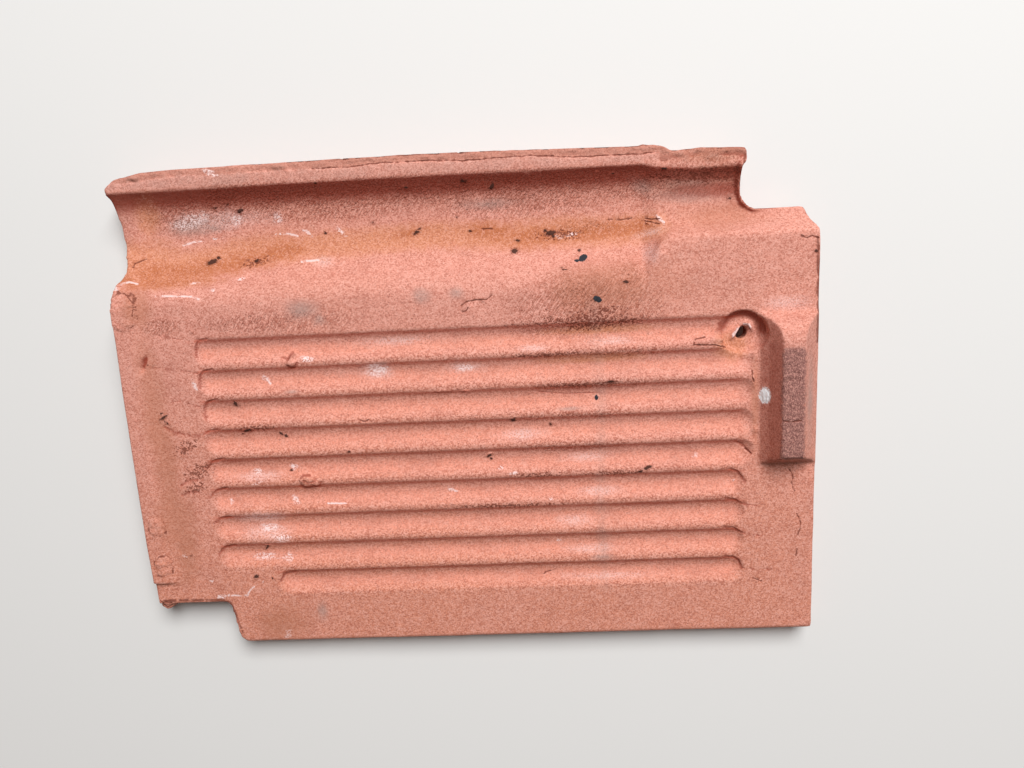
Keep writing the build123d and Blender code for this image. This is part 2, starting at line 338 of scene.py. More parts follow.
places, normals = corner_places(), corner_normals()
x, y, z = places.T
wall = smooth(0.55, 0.3, np.abs(normals[:, 2])) * (z < -0.5)
wander = 0.35 + 0.3 * ripple(places * (1, 1, 0.3), 14, 5) + 0.15 * ripple(places, 4, 9)
lower_right = smooth(285, 305, x) * smooth(8, 4, y)
upper_tail = smooth(168, 176, y) * smooth(12, 6, x)
wander *= 1 - 0.9 * np.maximum(lower_right, upper_tail)
places[:, :2] -= normals[:, :2] * (wall * np.clip(wander, 0, DEEPEST_PUSH))[:, None]
y -= np.interp(x, *zip(*LIP_TRIM)) * smooth(LIP_EDGE - 14, LIP_EDGE - 3, y)
x += np.interp(y, *zip(*TAIL_TRIM)) * smooth(190, 180, y) * smooth(12, 2, x)
print("wall corners moved", int((wall > 0.5).sum()))

# %% Bulges at the lip's ends, the chamfer and the nib's foot
FLASH_END = ((262, 0), (266, 1.2), (269, 2.2), (272, 2.3), (274.5, 1.6), (277, 0))
HEAD_EDGE = 345.2

lip_end = smooth(300, 309, x) * smooth(316, 312, x) * smooth(233.5, 238, y)
x += lip_end * (2.2 - 1.6 * smooth(241, 245, y))
lip_tip = smooth(10, 3, x) * smooth(234, 238, y) * smooth(248, 243, y)
x[:] = np.where(lip_tip > 0, np.maximum(x - 1.5 * lip_tip, 0.15), x)
y += np.interp(x, *zip(*FLASH_END)) * smooth(236, 243, y)
chamfer = smooth(9, 1, np.hypot(x - 335.5, y - 213))
x += 2.4 * chamfer * wall
chamfer = smooth(13, 4, np.hypot(x - 338, y - 210))
x += np.clip(HEAD_EDGE - x, 0, 1.2) * chamfer * wall
nib_foot = smooth(15, 2, z) * smooth(98, 92, y) * smooth(80, 88, y)
nib_foot *= smooth(311, 316, x) * smooth(346, 343, x) * (z > -1)
y += 1.5 * nib_foot
move_corners(places)
print("outline in x from", round(x.min(), 2), "to", round(x.max(), 2))

# %% Rounding
RIM_DEPTH = -9
RIM_PASSES = 4
STEP_PASSES = 100
ALL_AXES = {"use_axis_x": True, "use_axis_y": True, "use_axis_z": True}


def on_step(vert):
    """Whether a corner lies on the step in the roll."""
    return 250 < vert.co.x < 290 and 196 < vert.co.y < 234 and vert.normal.z > 0.3


soft = bmesh.new()
soft.from_mesh(tile.data)
soft.verts.ensure_lookup_table()
rim = {soft.verts[i] for i in np.flatnonzero((wall > 0.5) & (z > RIM_DEPTH))}
for ring in range(2):
    rim |= {edge.other_vert(vert) for vert in rim for edge in vert.link_edges}
for again in range(RIM_PASSES):
    bmesh.ops.smooth_vert(soft, verts=list(rim), factor=0.5, **ALL_AXES)
bmesh.ops.smooth_vert(soft, verts=soft.verts, factor=0.3, **ALL_AXES)
step = [vert for vert in soft.verts if on_step(vert)]
for again in range(STEP_PASSES):
    bmesh.ops.smooth_vert(soft, verts=step, factor=0.5, use_axis_z=True)
soft.to_mesh(tile.data)
soft.free()
print("rim corners softened", len(rim), "and corners of the step in the roll", len(step))

# %% [markdown]
# ## Broad relief
# These forms are a few millimetres wide or wider: the pan's waves, the small ledge beside the
# nib, the torn flash along the lip and the burr that stands up around the cut-away. They could be
# modelled as pieces, but they grow out of the slab without a seam. So each is a little arithmetic
# on fields, added to the height of whatever faces up.

# %% Waves and grain
PAN_WAVES = ((0.22, 60, 1), (0.1, 17, 2), (0.05, 4, 3), (0.04, 2.2, 4))
NIB_LEDGE = ((326, 88.4), (333, 88), (340, 88.4))
LEDGE_WIDTH = 3.4
LEDGE_HEIGHT = 0.5
FLANK_HEIGHT = 1.6

places, normals = corner_places(), corner_normals()
x, y, z = places.T
up = smooth(0.1, 0.5, normals[:, 2])
nib = smooth(314, 317, x) * smooth(86, 90, y) * smooth(164, 160, y)
height = sum(amount * ripple(places, size, seed) for amount, size, seed in PAN_WAVES)
height *= 1 - nib
height += nib * (0.12 * ripple(places, 1.9, 12) - 0.15)
ledge = smooth(0, 0.9, band(places, NIB_LEDGE, LEDGE_WIDTH) + 0.3 * ripple(places, 3, 13))
height += LEDGE_HEIGHT * ledge
flank = smooth(9, 3, x) * smooth(196, 200, y) * smooth(213, 206, y)
height += FLANK_HEIGHT * flank
print("waves from", round(height.min(), 2), "to", round(height.max(), 2))

# %% Lip
LIP_LINE = 3.9
LIP_STEP = 272
HEAD_LIP_EDGE = 244.4
FLASH_DROP = 0.9
FLASH_ALONG = ((0, 0.5), (14, 0.75), (40, 0.65), (70, 0.6), (100, 0.8), (120, 1), (262, 1),
               (285, 0.6), (309, 0.8))


def lip_depth(points):
    """How far inside the torn line along the lip each point lies, in millimetres."""
    edge = np.where(points[:, 0] < LIP_STEP, LIP_EDGE - 0.2, HEAD_LIP_EDGE)
    edge -= np.interp(points[:, 0], *zip(*LIP_TRIM))
    depth = edge - points[:, 1] + 0.7 * ripple(points, 24, 6)
    return depth + 0.25 * ripple(points, 4, 14) - LIP_LINE


def torn_lip(points):
    """1 on the torn strip outside that line, less where the strip is better kept."""
    return smooth(0.8, -0.8, lip_depth(points)) * np.interp(points[:, 0], *zip(*FLASH_ALONG))


drop = FLASH_DROP + 0.5 * ripple(places, 5, 7, 0.4) + 0.3 * ripple(places, 2, 8)
height -= torn_lip(places) * drop
head_lip = smooth(268, 285, x) * smooth(233, 240, y)
height += head_lip * 0.35 * ripple(places, 4.5, 10)
print("lip lowered by up to", round(-height[y > 240].min(), 2))

# %% Burr at the cut-away
CUT_EDGE = ((311.8, 250), (311.2, 238), (310.4, 229), (310.9, 222.5), (313.2, 218.5),
            (317.3, 216), (324, 215.2))
BURR_HEIGHT = 3.2
BURR_WIDTH = 3.6
burr = smooth(0, 0.75, band(places, CUT_EDGE, 2 * BURR_WIDTH) + 0.12 * ripple(places, 5, 11))
burr *= smooth(240, 233, y) * smooth(326, 312, x)
height += burr * BURR_HEIGHT
up_or_cut = np.maximum(up, burr * smooth(-24, -18, z))
z += height * up_or_cut
move_corners(places)
print("highest", round(z.max(), 2), "lowest", round(z.min(), 2))

# %% [markdown]
# ## Fewer triangles where nobody looks
# The skin now has far more faces than a part for a library should carry. Decimate removes the
# corners that matter least. It judges by shape alone and would empty the smooth weather face, so
# a vertex group takes it one side at a time: the weather face down to a tenth, and the underside,
# where the scars are, down to about a third.

# %% Thinning
FACING_DOWN = -0.35
WEATHER_SHARE = 0.1
UNDERSIDE_SHARE = 0.355


def thin(chosen, share):
    """Leaves that share of the faces around the chosen corners, and all the others."""
    group = tile.vertex_groups.new(name="thinned")
    group.add(np.flatnonzero(chosen).tolist(), 1.0, "REPLACE")
    ratio = 1 - (1 - share) * chosen.mean()
    finish_modifier("DECIMATE", ratio=float(ratio), vertex_group="thinned")
    tile.vertex_groups.clear()


thin(corner_normals()[:, 2] < FACING_DOWN, WEATHER_SHARE)
thin(corner_normals()[:, 2] >= FACING_DOWN, UNDERSIDE_SHARE)
print("triangles", sum(len(face.vertices) - 2 for face in tile.data.polygons))

# %% [markdown]
# ## Where the small marks are
# Each mark below was measured on the photograph and turned into level millimetres. An oval is
# given by the place of its middle, its length, its width and the turn of its length. A route is a
# list of places. A scar has its height as well. They are kept apart by what they are, because
# each kind has its own relief and its own colour. Hooks are the creases at the ends of the flutes,
# and hairlines are the fainter ones beside them.

# %% Scars and cracks
SCARS = (
    (4.5, 180, 20, 15, 70, 0.6),
    (6.8, 67, 10, 9, 20, 0.55),
    (7.5, 45.5, 12, 10, 60, 0.8),
    (27.5, 87.5, 15, 9, 10, 0.25),
    (29, 108, 14, 9, 15, 0.2),
    (162.5, 133.6, 8, 1.8, 2, 0.5),
    (173.5, 133.2, 4, 1.4, 0, 0.4),
    (167, 74.4, 11, 1.6, -3, 0.4),
    (181.5, 176.2, 8, 3.2, -4, -0.45),
    (12, 153.4, 10, 3.4, 66, -1.3),
    (89.8, 89.3, 11, 6.8, -6, 0.3),
    (86.9, 151, 6, 4.6, 12, 0.3),
    (17, 54, 3.5, 3, 0, -0.35),
    (267.5, 205.5, 14, 3, 25, 0.25),
)
CRACKS = (
    ((332.2, 86.7), (333.7, 84.6), (334.3, 82), (333.6, 79.4), (334.4, 76.7), (335.4, 75.1)),
    ((336.6, 62.9), (337.7, 60.8), (338.5, 58.1), (338.3, 54.9), (337.3, 52.2)),
    ((337, 44.1), (336.6, 40.4)),
    ((315, 29), (319.5, 27)),
    ((173.7, 175.6), (176.5, 177.4), (181.5, 178), (186, 177.8), (189, 180)),
    ((174, 172.4), (176, 172.9), (177, 174.4)),
    ((8.6, 188.5), (11.2, 184), (10, 178)),
    ((336, 201), (338.5, 199.6), (341, 200.6), (344, 199.4)),
    ((13.5, 201.5), (14.8, 203.5), (18, 204.6), (21, 205.5)),
    ((313.7, 137.4), (313.9, 134), (314.6, 131.8)),
    ((310.5, 98.2), (313.6, 95.4)),
    ((119, 120.6), (121.2, 119.4), (123.5, 120.6)),
    ((207, 33), (208.6, 35.6), (211.5, 36.4)),
    ((329, 111.4), (333, 110.7), (338, 111.2)),
    ((262.5, 211.5), (266, 210.6), (270, 209.6)),
    ((2, 23.5), (5, 25), (8.5, 24.4)),
    ((2.5, 26), (6, 22), (9, 23.5)),
    ((246, 212.9), (252, 212.4), (257, 213)),
    ((262, 212.8), (266, 211.9), (270, 212)),
    ((186, 211.6), (191, 211.3)),
    ((285.5, 151.2), (290, 150.9), (296, 150.6), (301, 149.4)),
    ((285.5, 151.2), (286.5, 154), (291, 154.8)),
)
HOOKS = (
    ((85.2, 87.8), (86.4, 86.2), (89.6, 85.9), (92.4, 86.7), (95, 86.3), (95.6, 88.6)),
    ((85.6, 91.4), (87, 92.6), (90.4, 92.5)),
    ((87, 89.6), (89.4, 88.4), (92.6, 89.2), (93.6, 90.6)),
    ((83.2, 153.9), (85.6, 152.9), (86.6, 154.6), (88.4, 156.2)),
    ((84.6, 149.6), (86.8, 148.6), (89, 149), (90, 150.8)),
    ((22.5, 84.5), (27, 86), (32, 85.6)),
    ((22.5, 89.5), (27, 92.2), (31.5, 92.4)),
    ((39.5, 156.7), (39.9, 161.7), (41.6, 164.4), (45.8, 165)),
    ((39.4, 140.3), (40, 146.5), (42, 148.8), (46.4, 149.6)),
    ((40, 124.7), (40.2, 129.9), (42.5, 133.2), (47, 134.2)),
    ((18.6, 120.9), (22.9, 118.1), (30.5, 115.9), (37.3, 115.9), (41.3, 118.2), (47, 118.9)),
    ((37.1, 98.4), (41, 102), (47, 103.4)),
    ((37.3, 83.2), (40.8, 86.1), (46.4, 87.6)),
    ((37.5, 68.4), (41.1, 71), (47, 72)),
    ((37.5, 51.1), (41.2, 54.9), (47, 56)),
    ((69.5, 35.4), (71.5, 39), (77.4, 40.2)),
    ((306.6, 101.8), (308.9, 100.6), (310.7, 98.6), (313.6, 95.3)),
    ((302.4, 88.2), (306.6, 86.6), (308.8, 83.8), (310.8, 80.6)),
    ((301, 72.6), (305.6, 71.6), (308.4, 69.8), (312.4, 68.4)),
    ((300, 57.2), (305, 56.8), (307.4, 54.9), (310.5, 53.4)),
    ((300, 41.6), (305, 41), (307.5, 38.9), (309.1, 35)),
)
HAIRLINES = (
    ((21.4, 167.7), (29.8, 165.8), (35.7, 164.5), (39, 162.8)),
    ((14, 152.3), (27.6, 150.2), (35.2, 148.8), (39, 147.6)),
    ((21.8, 134), (29, 133.7), (33.9, 131.9), (38, 130.7)),
    ((311.7, 69.1), (316.7, 67.9)),
    ((310.3, 54.2), (313.3, 53), (318.3, 51.8)),
    ((309.4, 34.7), (316, 33.9), (324.6, 33.7)),
    ((208, 131.6), (222, 129.8), (240, 129.6)),
)
print("scars", len(SCARS), "cracks", len(CRACKS), "creases", len(HOOKS) + len(HAIRLINES))

# %% Dirt and growths
DIRT = (
    (53.5, 202.5, 6.5, 2.4, 18), (56.8, 204.3, 2.2, 1.4, 40), (75.5, 202, 3.2, 1.6, 20),
    (155, 212, 5.2, 1.8, 38), (201, 200.5, 3.6, 2.6, 15), (202.7, 205.3, 2.6, 1.2, -15),
    (218.5, 208, 5.5, 2.2, 5), (216, 209.3, 2.2, 1.4, -40), (219.8, 206.4, 1.6, 2.2, 0),
    (70.3, 226, 3.6, 2.2, 35), (62.5, 229, 6, 1.2, 8), (58, 228, 3, 1.1, -10),
    (38.5, 168.5, 1.7, 1.1, 0), (56.5, 38.3, 3.6, 2, 15), (55, 37.1, 1.7, 1.2, 60),
    (64.7, 37.2, 1.8, 1.4, 0), (22.8, 50.7, 1.3, 1.2, 0), (81.5, 95.8, 2, 1.4, 20),
    (112, 104.4, 1.4, 1.3, 0), (191.8, 231, 2, 3.6, -30), (151.5, 232.4, 3.2, 1.3, -20),
    (178.5, 234.3, 3.2, 1.9, 0), (248.5, 233.6, 1.9, 1.2, 0), (272.5, 234.8, 3, 1.2, 0),
    (302.5, 220, 2.1, 1.7, 0), (108, 237, 1.5, 1.2, 0), (174.8, 217.4, 2.6, 1.2, 10),
    (224.5, 190, 4.2, 1.3, -48), (231.7, 199.6, 1.4, 2.2, 0), (253.8, 183.2, 3.8, 1.6, -15),
    (56.7, 131.6, 3.8, 1.8, -55), (78.2, 115.3, 2.8, 1.3, -35), (80.6, 114, 2.2, 1.8, -60),
    (18.5, 126, 5.5, 1.3, 30), (19.5, 123.6, 4, 1.1, -50), (17, 128, 3, 1.1, 10),
    (183.2, 99.6, 3.2, 1.6, 30), (184, 98, 1.6, 1.4, 0), (196.3, 117.6, 2.8, 1.9, 10),
    (214.3, 114.6, 1.6, 2.4, 0), (262.5, 90.3, 4.6, 1.8, 20), (258.8, 88.4, 3, 1.3, 10),
    (64, 54.6, 3.4, 1.7, 50), (61, 117.6, 4.2, 1.3, 15), (58.2, 115.6, 1.1, 2.2, 0),
    (134.5, 217.6, 3, 1.1, 25), (180.3, 210.9, 2.2, 1.2, 0), (110.5, 213.4, 1.6, 1.2, 0),
    (245, 135, 4, 1.2, 0), (343, 193.4, 2, 1.6, 0),
)
LICHEN = (
    (233.5, 195.6, 4.8, 3.5, 35),
    (230.4, 194.4, 2.6, 1.5, -10),
    (239.8, 175.6, 5, 3.1, -25),
    (237.8, 127.2, 1.9, 3.2, 0),
)
DROPPING = (
    (320, 124.6, 6, 8.8, 6),
)
print("crumbs of dirt", len(DIRT), "growths", len(LICHEN))

# %% Chalk and haze
CHALK = (
    (46, 222.5, 22, 10, 10), (68, 222, 6, 8, -10), (88, 222, 6, 7, 0), (52, 188.7, 3.4, 2.2, 40),
    (3.5, 192, 4, 2, 50), (44, 192.6, 7, 2, 0), (67, 193.8, 6, 2, 20), (58, 244, 10, 4, -25),
    (118, 214, 8, 2.6, -40), (36.5, 142, 3.6, 7, 15), (73.5, 143.6, 3.4, 6, 35), (130, 145.5, 15, 9, 5),
    (173, 145, 14, 4.5, 5), (95, 152.8, 10, 3.6, -5), (19.5, 51, 4, 3, -40), (18.5, 32.5, 2, 1.8, 0),
    (63.5, 95.8, 6, 6, 0), (82.5, 97.5, 5, 5, 40), (63, 89.3, 9, 2.6, 15), (48.5, 80, 3, 6, 0),
    (82, 80, 5, 7, 30), (67, 65, 15, 6, 0), (72, 59, 11, 6, 0), (75, 48.5, 8, 7, 35),
    (62, 49.5, 18, 5, 0), (188.5, 92.6, 3, 2.6, 0), (195, 89.8, 6, 2.4, 8), (162.5, 82.4, 5, 4, -30),
    (213, 75.5, 3, 3, 30), (216.5, 53.2, 3, 1.8, 0), (286, 95.6, 4.4, 3.8, 0), (304.8, 82, 2.6, 2, 0),
    (228.5, 206.8, 9.5, 2.2, 8), (222.5, 205.6, 5, 1.8, -20), (70, 5, 8, 6, 30), (36.5, 27.4, 6, 3, 0),
    (305.6, 156.6, 7.5, 2.6, 55), (312.4, 159, 4.4, 1.8, -60), (270.6, 211.5, 6.5, 2.4, -50),
)
CHALK_LINES = (
    ((304.4, 154.2), (305.8, 156.8), (307.6, 158.6)),
    ((309.4, 160.2), (312.2, 160), (313, 158)),
    ((268.6, 213.6), (270.6, 211.2), (272.2, 210.2)),
    ((34, 26.6), (38, 27.8), (50.2, 27.6), (52, 30.6), (56.4, 34), (60, 35)),
    ((27.4, 34.5), (30.3, 35.9), (34.5, 37.2)),
    ((40, 210.6), (45, 212.4), (57, 213.4)),
    ((86, 214.2), (92, 214.2), (97, 212.8)),
    ((99.5, 215.6), (102.6, 214), (103.6, 211.6)),
    ((21.5, 187.4), (34, 186.8), (41, 186.2), (45, 184.6)),
    ((4, 191), (7, 194.2), (11, 194.8), (15, 193.6)),
    ((98, 77.2), (108, 76.8)),
    ((97, 200.4), (106, 200.9)),
    ((163, 82.6), (166, 80.6)),
    ((37.5, 139.5), (35.5, 144.5)),
    ((72.5, 145.5), (75.5, 141)),
)
HAZE = (
    (266, 196, 12, 14, 0), (266, 206, 26, 6, 12), (130, 145, 24, 12, 0), (173, 145, 24, 8, 0),
    (225, 64, 30, 9, 0), (207, 153, 26, 6, 0), (245, 155, 34, 8, 0), (232, 97, 34, 9, 0),
    (237, 79, 34, 8, 0), (232, 48, 36, 8, 0), (64, 71, 40, 7, 0), (108, 200, 16, 9, 0),
    (60, 222, 70, 14, 0), (240, 33, 70, 8, 0), (66, 62, 40, 16, 0),
    (200, 110, 40, 9, 0), (330, 170, 30, 10, 0), (140, 160, 60, 7, 0), (62, 93, 40, 8, 0),
)
print("ovals of chalk", len(CHALK), "strokes", len(CHALK_LINES), "hazes", len(HAZE))

# %% Soot, rust and wash
SOOT = (
    (95, 177, 25, 15, 0), (103, 172, 10, 9, 0), (154, 181, 15, 12, 0), (171.5, 182, 12, 9, 0),
    (46, 220, 38, 14, 5), (56, 218.6, 14, 6, 0), (341.8, 122, 5, 60, 0), (262, 228, 18, 11, -20),
    (238, 43, 20, 7, 0), (224, 122, 20, 3.4, 0), (90, 18, 9, 18, 0), (313, 186.3, 4, 3, 0),
    (86, 136.6, 12, 2.6, 0), (190, 223, 40, 9, 0),
    (285, 228, 50, 18, -4), (284, 222, 50, 12, -4), (133, 149, 10, 3, 0),
)
SOOT_ROUTES = (((238, 172), (240, 120), (238, 60), (240, 26)),)
RUST = (
    (208, 206, 32, 12, 0), (236, 208, 30, 8, 0), (150, 211, 22, 4, 8), (87, 206, 26, 9, 15),
    (28, 193.4, 60, 6, 2), (8, 196, 20, 7, -20),
)
RUST_ROUTES = (
    ((20, 198.5), (38, 198), (60, 200), (75, 202.5), (95, 207)),
    ((184, 211), (210, 206.5), (236, 207.5), (264, 208.5)),
)
WASH = (
    (24.5, 226, 14, 22, 0), (240, 161, 60, 5, 0), (236, 147, 60, 5, 0), (304, 150, 19, 16, 0),
    (20, 203, 60, 26, 0), (30, 195, 60, 11, 0), (70, 206, 70, 18, 8), (222, 208, 96, 17, 0),
)
WASH_ROUTES = (
    ((0, 200), (40, 202), (95, 207), (165, 210), (205, 207), (245, 207), (268, 208.5)),
)
print("soot", len(SOOT), "rust", len(RUST), "wash", len(WASH))

# %% Shade, dark rims and soiled places
FLUTE_SHADE = (
    (222, 162.4, 76, 5, 0), (226, 147.6, 76, 4.4, 0), (226, 132.4, 80, 5, 0), (60, 117.6, 30, 4, 0),
    (230, 101.6, 60, 4, 0), (214, 86.2, 60, 4, 0), (262, 71, 60, 3.6, 0), (52, 101.6, 20, 4, 0),
)
# The first rim is painted shade along the notch's rounded edge; the second is a dark torn strip along
# the head's edge.
DARK_RIMS = (
    ((4.5, 26), (13, 25.8), (24, 25.7), (36, 25.4), (40.2, 23.7), (42.3, 18.3), (43.7, 12.4),
     (45.2, 6.2)),
    ((343.7, 199.5), (344.2, 186), (344.6, 170), (344.8, 150)),
    ((309.8, 239), (309.4, 235)),
)
SPECKLED = (
    (235, 173, 80, 36, 0), (253, 182, 28, 20, 20), (232, 162, 66, 8, 0), (248, 149.6, 70, 5, 0),
    (240, 134.2, 70, 5, 0), (84, 172, 90, 12, 0), (292, 240, 44, 9, 0), (50, 224, 60, 20, 0),
    (205, 224, 96, 18, 0), (262, 228, 28, 18, -20), (236, 210, 40, 7, 0), (285, 229, 56, 14, 0),
    (110, 226, 110, 16, 0), (24, 172, 26, 9, 0), (226, 118.6, 60, 5, 0), (226, 103, 60, 5, 0),
)
SPECKLED_ROUTES = (((60, 232), (150, 231.5), (230, 230), (305, 228.5)),)
# Soiled places are dark specks of dirt, but the oval at (288, 231) is painted shade on the wall under
# the head's lip.
SOILED_AND_SHADED = (
    (230, 165.8, 62, 5, 0), (238, 166, 38, 7, 0), (234, 163.8, 34, 6, 0), (252, 164.4, 18, 4, 8),
    (214, 149.6, 40, 2.4, 0), (226, 134, 40, 2.4, 0), (66, 118.6, 18, 3, 0), (222, 207, 22, 5, 0),
    (76, 201.5, 16, 4, 10), (243, 170, 22, 4, 0), (33, 97, 16, 8, 20), (28, 110, 14, 7, 20),
    (288, 231, 44, 7, 0), (208, 88.6, 30, 2.6, 0), (245, 88, 30, 2.6, 0),
    (190, 72.6, 60, 2.2, 0), (30, 88, 11, 6, 15),
)
# Most dull ovals are duller clay at the borders, but those at (296, 212) and (288, 229) darken the
# head's floor under its lip, which is painted shade.
DULL = (
    (15, 118, 20, 150, 4), (17, 70, 26, 70, 0), (20, 56, 18, 50, 0), (66, 12, 40, 30, 0),
    (12, 182, 20, 30, 0), (246, 180, 76, 34, 0), (296, 212, 60, 18, 0), (288, 229, 50, 16, 0),
    (315.2, 122, 5, 68, 0), (292, 240, 44, 10, 0),
)
print("shades", len(FLUTE_SHADE), "speckled", len(SPECKLED), "soiled_and_shaded", len(SOILED_AND_SHADED))

# %% [markdown]
# ## Closer corners where the marks are
# A crack is less than a millimetre wide, and the thinned skin has a corner every millimetre or
# so. Halving every edge would cost four times as many faces. So only the faces near a mark are
# divided: once at the scars and the nib's top, and twice at all that is smaller.

# %% Fields of all the marks
CRACK_WIDTH = 0.8
NIB_TOP = (328.4, 339.4, 91.5, 152.3)


def ovals(points, marks):
    """Highest field of several ovals."""
    return np.max([oval(points, *mark[:5]) for mark in marks], axis=0)


def bands(points, routes, width):
    """Highest field of several bands."""
    return np.max([band(points, route, width) for route in routes], axis=0)


def lip_line(points):
    """Field of the dark line along the lip."""
    kept = smooth(96, 112, points[:, 0]) * smooth(274, 266, points[:, 0])
    return kept - 0.3 - np.abs(lip_depth(points)) / 0.6


def fine_marks(points):
    """Field of everything small enough to need closer corners."""
    seen = as_seen(points)
    dots = ovals(seen, DIRT + LICHEN + DROPPING)
    lines = np.maximum(bands(seen, CRACKS, 2.6 * CRACK_WIDTH), 0.5 * lip_line(points))
    on_nib = np.where(points[:, 2] > 12, smooth(-1.5, 0.5, box(seen, *NIB_TOP)) - 1.4, -1)
    thin_lines = bands(seen, HOOKS + CHALK_LINES + HAIRLINES + DARK_RIMS, 1.4)
    return np.max([dots, lines, thin_lines, on_nib], axis=0)


print("marks that get closer corners", len(DIRT + LICHEN + DROPPING + CRACKS + HOOKS + HAIRLINES))

# %% Division
WIDE_REACH = -0.8
CLOSE_REACH = -0.25
SCAR_REACH = -0.3

fine = bmesh.new()
fine.from_mesh(tile.data)
for reach in (WIDE_REACH, CLOSE_REACH):
    places = np.array([vert.co for vert in fine.verts])
    normals = np.array([vert.normal for vert in fine.verts])
    near = fine_marks(places) > reach
    if reach == WIDE_REACH:
        near |= ovals(as_seen(places), SCARS) > SCAR_REACH
    near &= normals[:, 2] > 0.2
    chosen = [edge for edge in fine.edges if all(near[vert.index] for vert in edge.verts)]
    bmesh.ops.subdivide_edges(fine, edges=chosen, cuts=1, use_grid_fill=True)
    bmesh.ops.triangulate(fine, faces=fine.faces)
    print("divided", len(chosen), "edges, faces now", len(fine.faces))
fine.to_mesh(tile.data)
fine.free()

# %% [markdown]
# ## Fine relief
# Dirt and growths stand a little proud, cracks cut in, and a scar is a low plateau with a torn
# border and wrinkles on it. A bump map could fake them, but it goes flat when seen from the side.
# Most heights are a few tenths of a millimetre, which a fingertip would feel.

# %% Small marks in height
DIRT_HEIGHT = 0.45
GROWTH_HEIGHT = 0.4
CRACK_DEPTH = 0.45
HOOK_DEPTH = 0.3
HOOK_WIDTH = 1.7
HAIRLINE_WIDTH = 0.9
TORN_BORDER = 0.3

places, normals = corner_places(), corner_normals()
x, y, z = places.T
seen = as_seen(places)
top = smooth(0.2, 0.6, normals[:, 2])
small = ripple(places, 1.6, 21)
tiny = ripple(places, 0.8, 22)
dirt_and_hole_shade = ovals(seen, DIRT)
lichen = ovals(seen, LICHEN)
dropping = ovals(seen, DROPPING)
cracks = np.maximum(bands(seen, CRACKS, CRACK_WIDTH), lip_line(places)) + 0.4 * small
height = DIRT_HEIGHT * smooth(-0.2, 0.5, dirt_and_hole_shade + 0.45 * small)
height += GROWTH_HEIGHT * smooth(-0.1, 0.6, lichen + 0.3 * small)
height += GROWTH_HEIGHT * smooth(0, 0.8, dropping + 0.5 * small)
height -= CRACK_DEPTH * smooth(0, 0.8, cracks)
hairs = bands(seen, HAIRLINES, HAIRLINE_WIDTH) + 0.4 * small - 0.3
hooks = np.maximum(bands(seen, HOOKS, HOOK_WIDTH) + 0.2 * small, hairs)
height -= HOOK_DEPTH * smooth(0, 0.8, hooks)
wrinkle = ripple(places, 2.6, 23, 0.6)
for *outline, scar_height in SCARS:
    scar = oval(seen, *outline) + 0.22 * ripple(places, 3.2, 24)
    height += scar_height * smooth(0, 0.16, scar) * (0.8 + 0.45 * wrinkle)
    height += 0.1 * smooth(0, 0.16, scar) * small
    if scar_height > TORN_BORDER:
        cracks = np.maximum(cracks, 0.6 - np.abs(scar) / 0.13 + 0.5 * small)
height += (0.03 * small + 0.02 * tiny) * smooth(16, 12, z)
print("small marks from", round(height.min(), 2), "to", round(height.max(), 2))

# %% Nib top
TILE_LENGTH = 345.5
KEPT_INSIDE = 0.02
nib_top = smooth(-2.4, 2, box(seen, *NIB_TOP) + 0.9 * small) * (z > 10)
nib_top *= smooth(153, 147, y)
height -= nib_top * (0.15 + 0.26 * small + 0.16 * tiny)
z += height * top
x[:] = np.clip(x, KEPT_INSIDE, TILE_LENGTH - KEPT_INSIDE)
move_corners(places)
print("highest", round(z.max(), 2), "nib top covers", int((nib_top > 0.5).sum()), "corners")

# %% [markdown]
# ## Stains, carried by the corners
# The material has to know where rust, chalk and dirt lie, and where shade is to be painted. Each
# kind is saved as an attribute: one number a corner, which the material reads like a mask. An image
# would need unwrapping and would be as coarse as its pixels. The attribute gives only the place,
# and the material's own noise breaks its border up, so a stain stays sharp close up. The fields are
# flat and would show on both faces, so the weather face gets each field's lowest value instead.

# %% Where the walls and flutes are
FLUTE_EDGE = 165.05
FLUTE_PITCH = 15.46
FLUTES = 9
LAST_FLUTE_START = 66
HEAD_FLOOR = ((266, 225), (306, 224.5))
HEAD_WALL = ((266, 234), (290, 231.8), (309, 232))

below_edge = np.mod(FLUTE_EDGE - y, FLUTE_PITCH)
in_flutes = smooth(36, 41, x) * smooth(312, 306, x)
in_flutes *= smooth(FLUTE_EDGE - FLUTES * FLUTE_PITCH, 28, y) * (y < FLUTE_EDGE + 0.6)
in_last_flute = y < FLUTE_EDGE - (FLUTES - 1) * FLUTE_PITCH + 0.6
in_flutes *= np.where(in_last_flute, smooth(LAST_FLUTE_START, LAST_FLUTE_START + 5, x), 1)
# Painted shade under each flute's upper edge, whose steep wall faces away from the lamp.
flute_edge_shade = smooth(4.5, 0.3, below_edge) * in_flutes * smooth(-0.1, -0.6, z)
# The deep lower side of each flute, which faces the lamp: the material paints it lighter, a painted
# highlight, and gives it less grit.
flute_floor = smooth(-1.0, -2.3, z) * in_flutes * smooth(3.5, 6.5, below_edge)
trough_wall = smooth(224, 235, y) * smooth(-8.2, -9.2, z) * smooth(243, 240, y)
from_nail = np.hypot(x - NAIL_HOLE.x, y - NAIL_HOLE.y)
toward_corner = (0.1 * (x - NAIL_HOLE.x) + y - NAIL_HOLE.y) / (from_nail + 1)
recess_wall = smooth(6.2, 8.8, from_nail) * smooth(13, 12, from_nail) * (z < -0.3)
recess_wall *= smooth(-0.3, 0.2, toward_corner)
cut_wall = smooth(0, 0.4, band(places, CUT_EDGE, 9)) * smooth(0.97, 0.6, normals[:, 2])
head_floor = smooth(0, 0.8, band(places, HEAD_FLOOR, 13)) * smooth(262, 288, x)
head_wall = smooth(0, 0.6, band(places, HEAD_WALL, 8))
